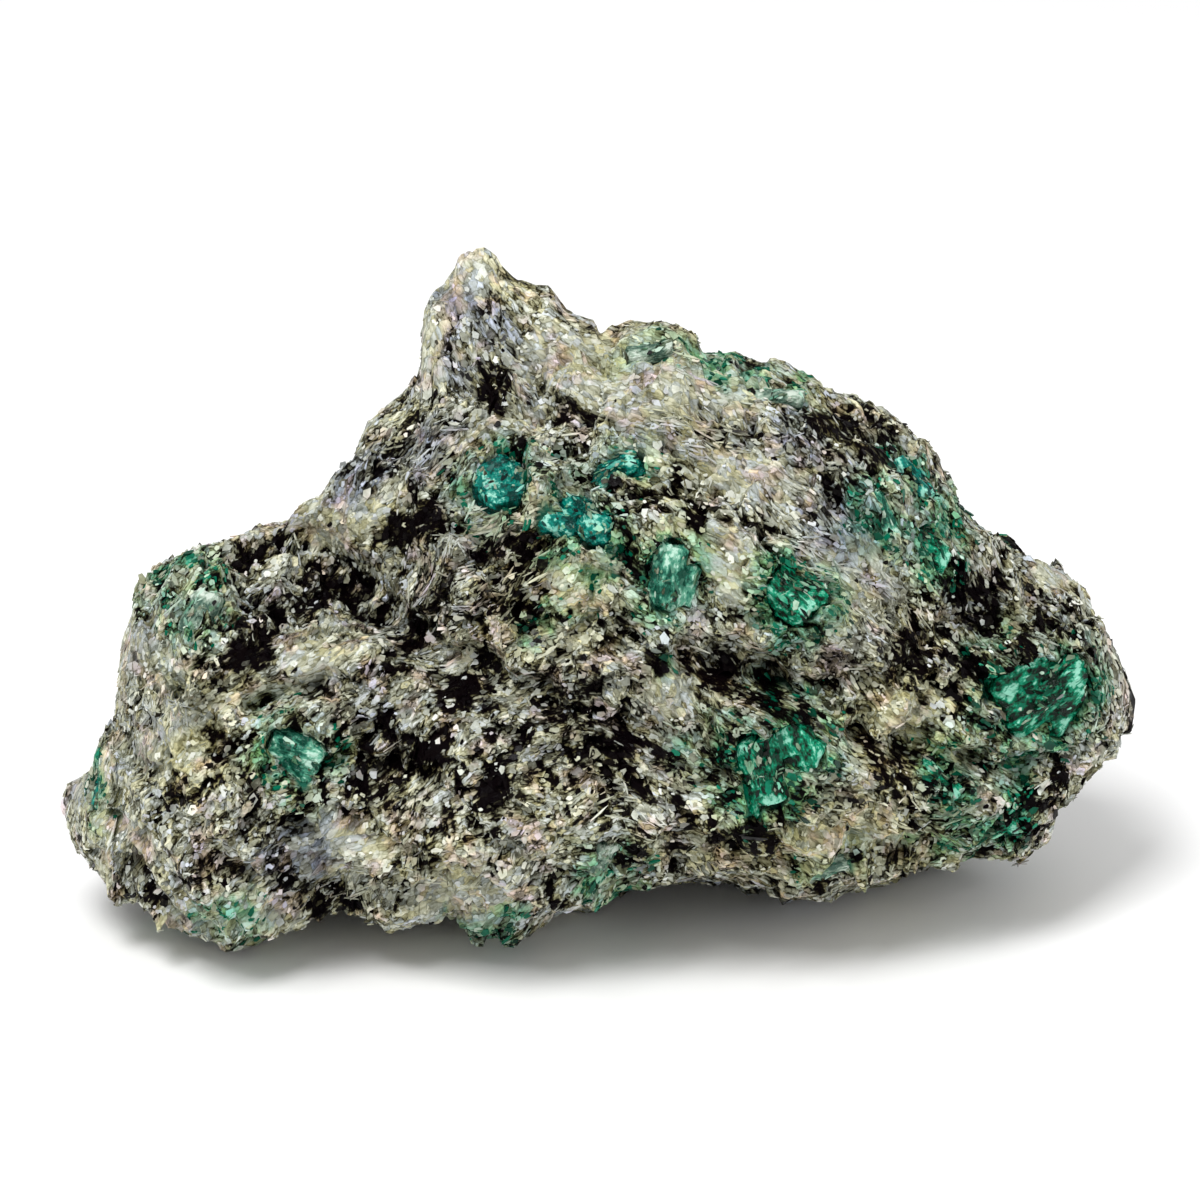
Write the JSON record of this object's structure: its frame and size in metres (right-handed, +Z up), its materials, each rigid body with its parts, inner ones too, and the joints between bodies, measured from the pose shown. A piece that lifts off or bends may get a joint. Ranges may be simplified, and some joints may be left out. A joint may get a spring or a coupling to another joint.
{
  "type": "emerald in matrix specimen",
  "caption": "Rough hand specimen of pale mica schist with a pointed horn, ledges and clefts, set with green emerald crystals; stands on its flat broken underside.",
  "frame": {"origin": "on the surface that the specimen rests on, under the middle of its outer box", "axes": "+X along the stone from its blunt foot towards its nose, +Y from its broad face to its back, +Z up"},
  "size_m": [0.0972, 0.052, 0.0584],
  "materials": {
    "schist": "rough broken mica schist, silvery scales over dark mica",
    "emerald": "natural crystal, glassy, clouded green, partly see-through"
  },
  "bodies": {
    "root": {"matrix": "schist", "emerald_eye": "emerald", "emerald_tail": "emerald", "emerald_brow": "emerald", "emerald_window": "emerald", "emerald_wedge": "emerald", "emerald_sliver": "emerald", "emerald_spark": "emerald", "emerald_shade": "emerald", "emerald_heart": "emerald", "emerald_nose": "emerald", "emerald_streak": "emerald", "emerald_heel": "emerald", "emerald_keel": "emerald", "emerald_toe": "emerald", "emerald_pane": "emerald", "emerald_shoulder": "emerald", "emerald_tip": "emerald", "emerald_knob": "emerald", "emerald_crest": "emerald", "emerald_back_upper": "emerald", "emerald_back_left": "emerald", "emerald_back_middle": "emerald", "emerald_back_right": "emerald", "emerald_back_low": "emerald"}
  },
  "joints": []
}
